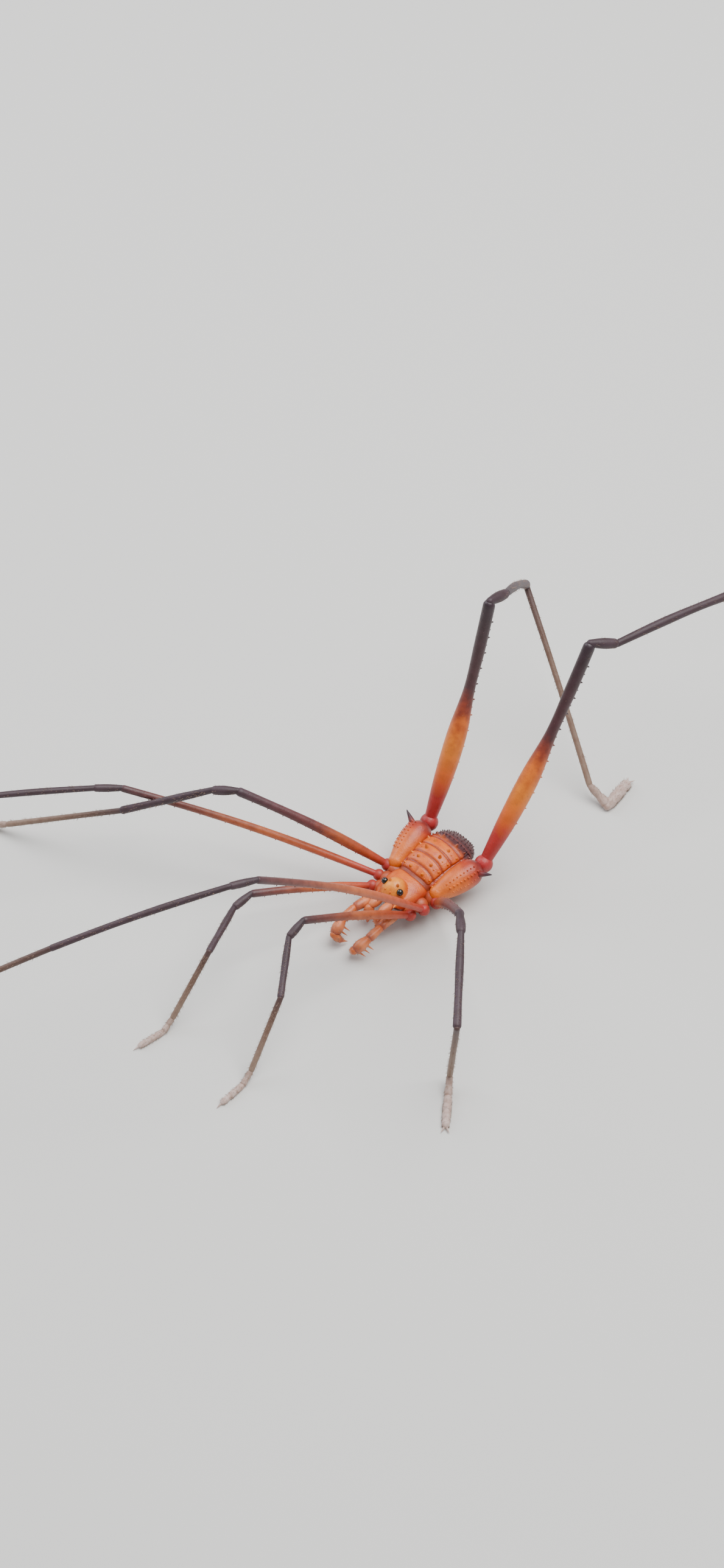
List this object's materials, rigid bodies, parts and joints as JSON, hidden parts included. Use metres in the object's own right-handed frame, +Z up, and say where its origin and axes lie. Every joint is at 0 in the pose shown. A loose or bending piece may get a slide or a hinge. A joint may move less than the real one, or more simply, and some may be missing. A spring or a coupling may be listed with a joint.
{
  "type": "harvestman",
  "caption": "Life-size still model of an armoured harvestman: short pear-shaped body, spined mouthparts and long jointed legs, hind knees raised high.",
  "frame": {"origin": "on the floor, below the middle of the whole animal's extent", "axes": "+Z up from the floor, head towards -Y, the animal's left side towards +X"},
  "size_m": [0.0722, 0.0998, 0.024],
  "materials": {
    "shield": "smooth satin cuticle",
    "mound": "smooth satin cuticle",
    "rear": "glossy dark cuticle",
    "underside": "satin cuticle",
    "coxa": "satin granulate cuticle",
    "mouth": "satin cuticle",
    "eye": "glossy black lens",
    "femur": "satin granulate cuticle",
    "joint": "satin dark cuticle",
    "metatarsus": "matt brown cuticle",
    "tarsus": "pale velvety cuticle"
  },
  "bodies": {
    "root": {"carapace": "shield", "scutum": "shield", "free_tergites": "rear", "anal_operculum": "rear", "underside": "underside", "eye_mound": "mound", "eye_left": "eye", "chelicera_left": "mouth", "pedipalp_base_left": "mouth", "pedipalp_hand_left": "mouth", "coxa4_left": "coxa", "leg1_left_femur": "femur", "leg1_left_patella": "joint", "leg1_left_tibia": "joint", "leg1_left_metatarsus": "metatarsus", "leg1_left_tarsus": "tarsus", "leg2_left_femur": "femur", "leg2_left_patella": "joint", "leg2_left_tibia": "joint", "leg2_left_metatarsus": "metatarsus", "leg2_left_tarsus": "tarsus", "leg3_left_femur": "femur", "leg3_left_patella": "joint", "leg3_left_tibia": "joint", "leg3_left_metatarsus": "metatarsus", "leg3_left_tarsus": "tarsus", "leg4_left_femur": "femur", "leg4_left_patella": "joint", "leg4_left_tibia": "joint", "leg4_left_metatarsus": "metatarsus", "leg4_left_tarsus": "tarsus", "eye_right": "eye", "chelicera_right": "mouth", "pedipalp_base_right": "mouth", "pedipalp_hand_right": "mouth", "coxa4_right": "coxa", "leg1_right_femur": "femur", "leg1_right_patella": "joint", "leg1_right_tibia": "joint", "leg1_right_metatarsus": "metatarsus", "leg1_right_tarsus": "tarsus", "leg2_right_femur": "femur", "leg2_right_patella": "joint", "leg2_right_tibia": "joint", "leg2_right_metatarsus": "metatarsus", "leg2_right_tarsus": "tarsus", "leg3_right_femur": "femur", "leg3_right_patella": "joint", "leg3_right_tibia": "joint", "leg3_right_metatarsus": "metatarsus", "leg3_right_tarsus": "tarsus", "leg4_right_femur": "femur", "leg4_right_patella": "joint", "leg4_right_tibia": "joint", "leg4_right_metatarsus": "metatarsus", "leg4_right_tarsus": "tarsus"}
  },
  "joints": []
}
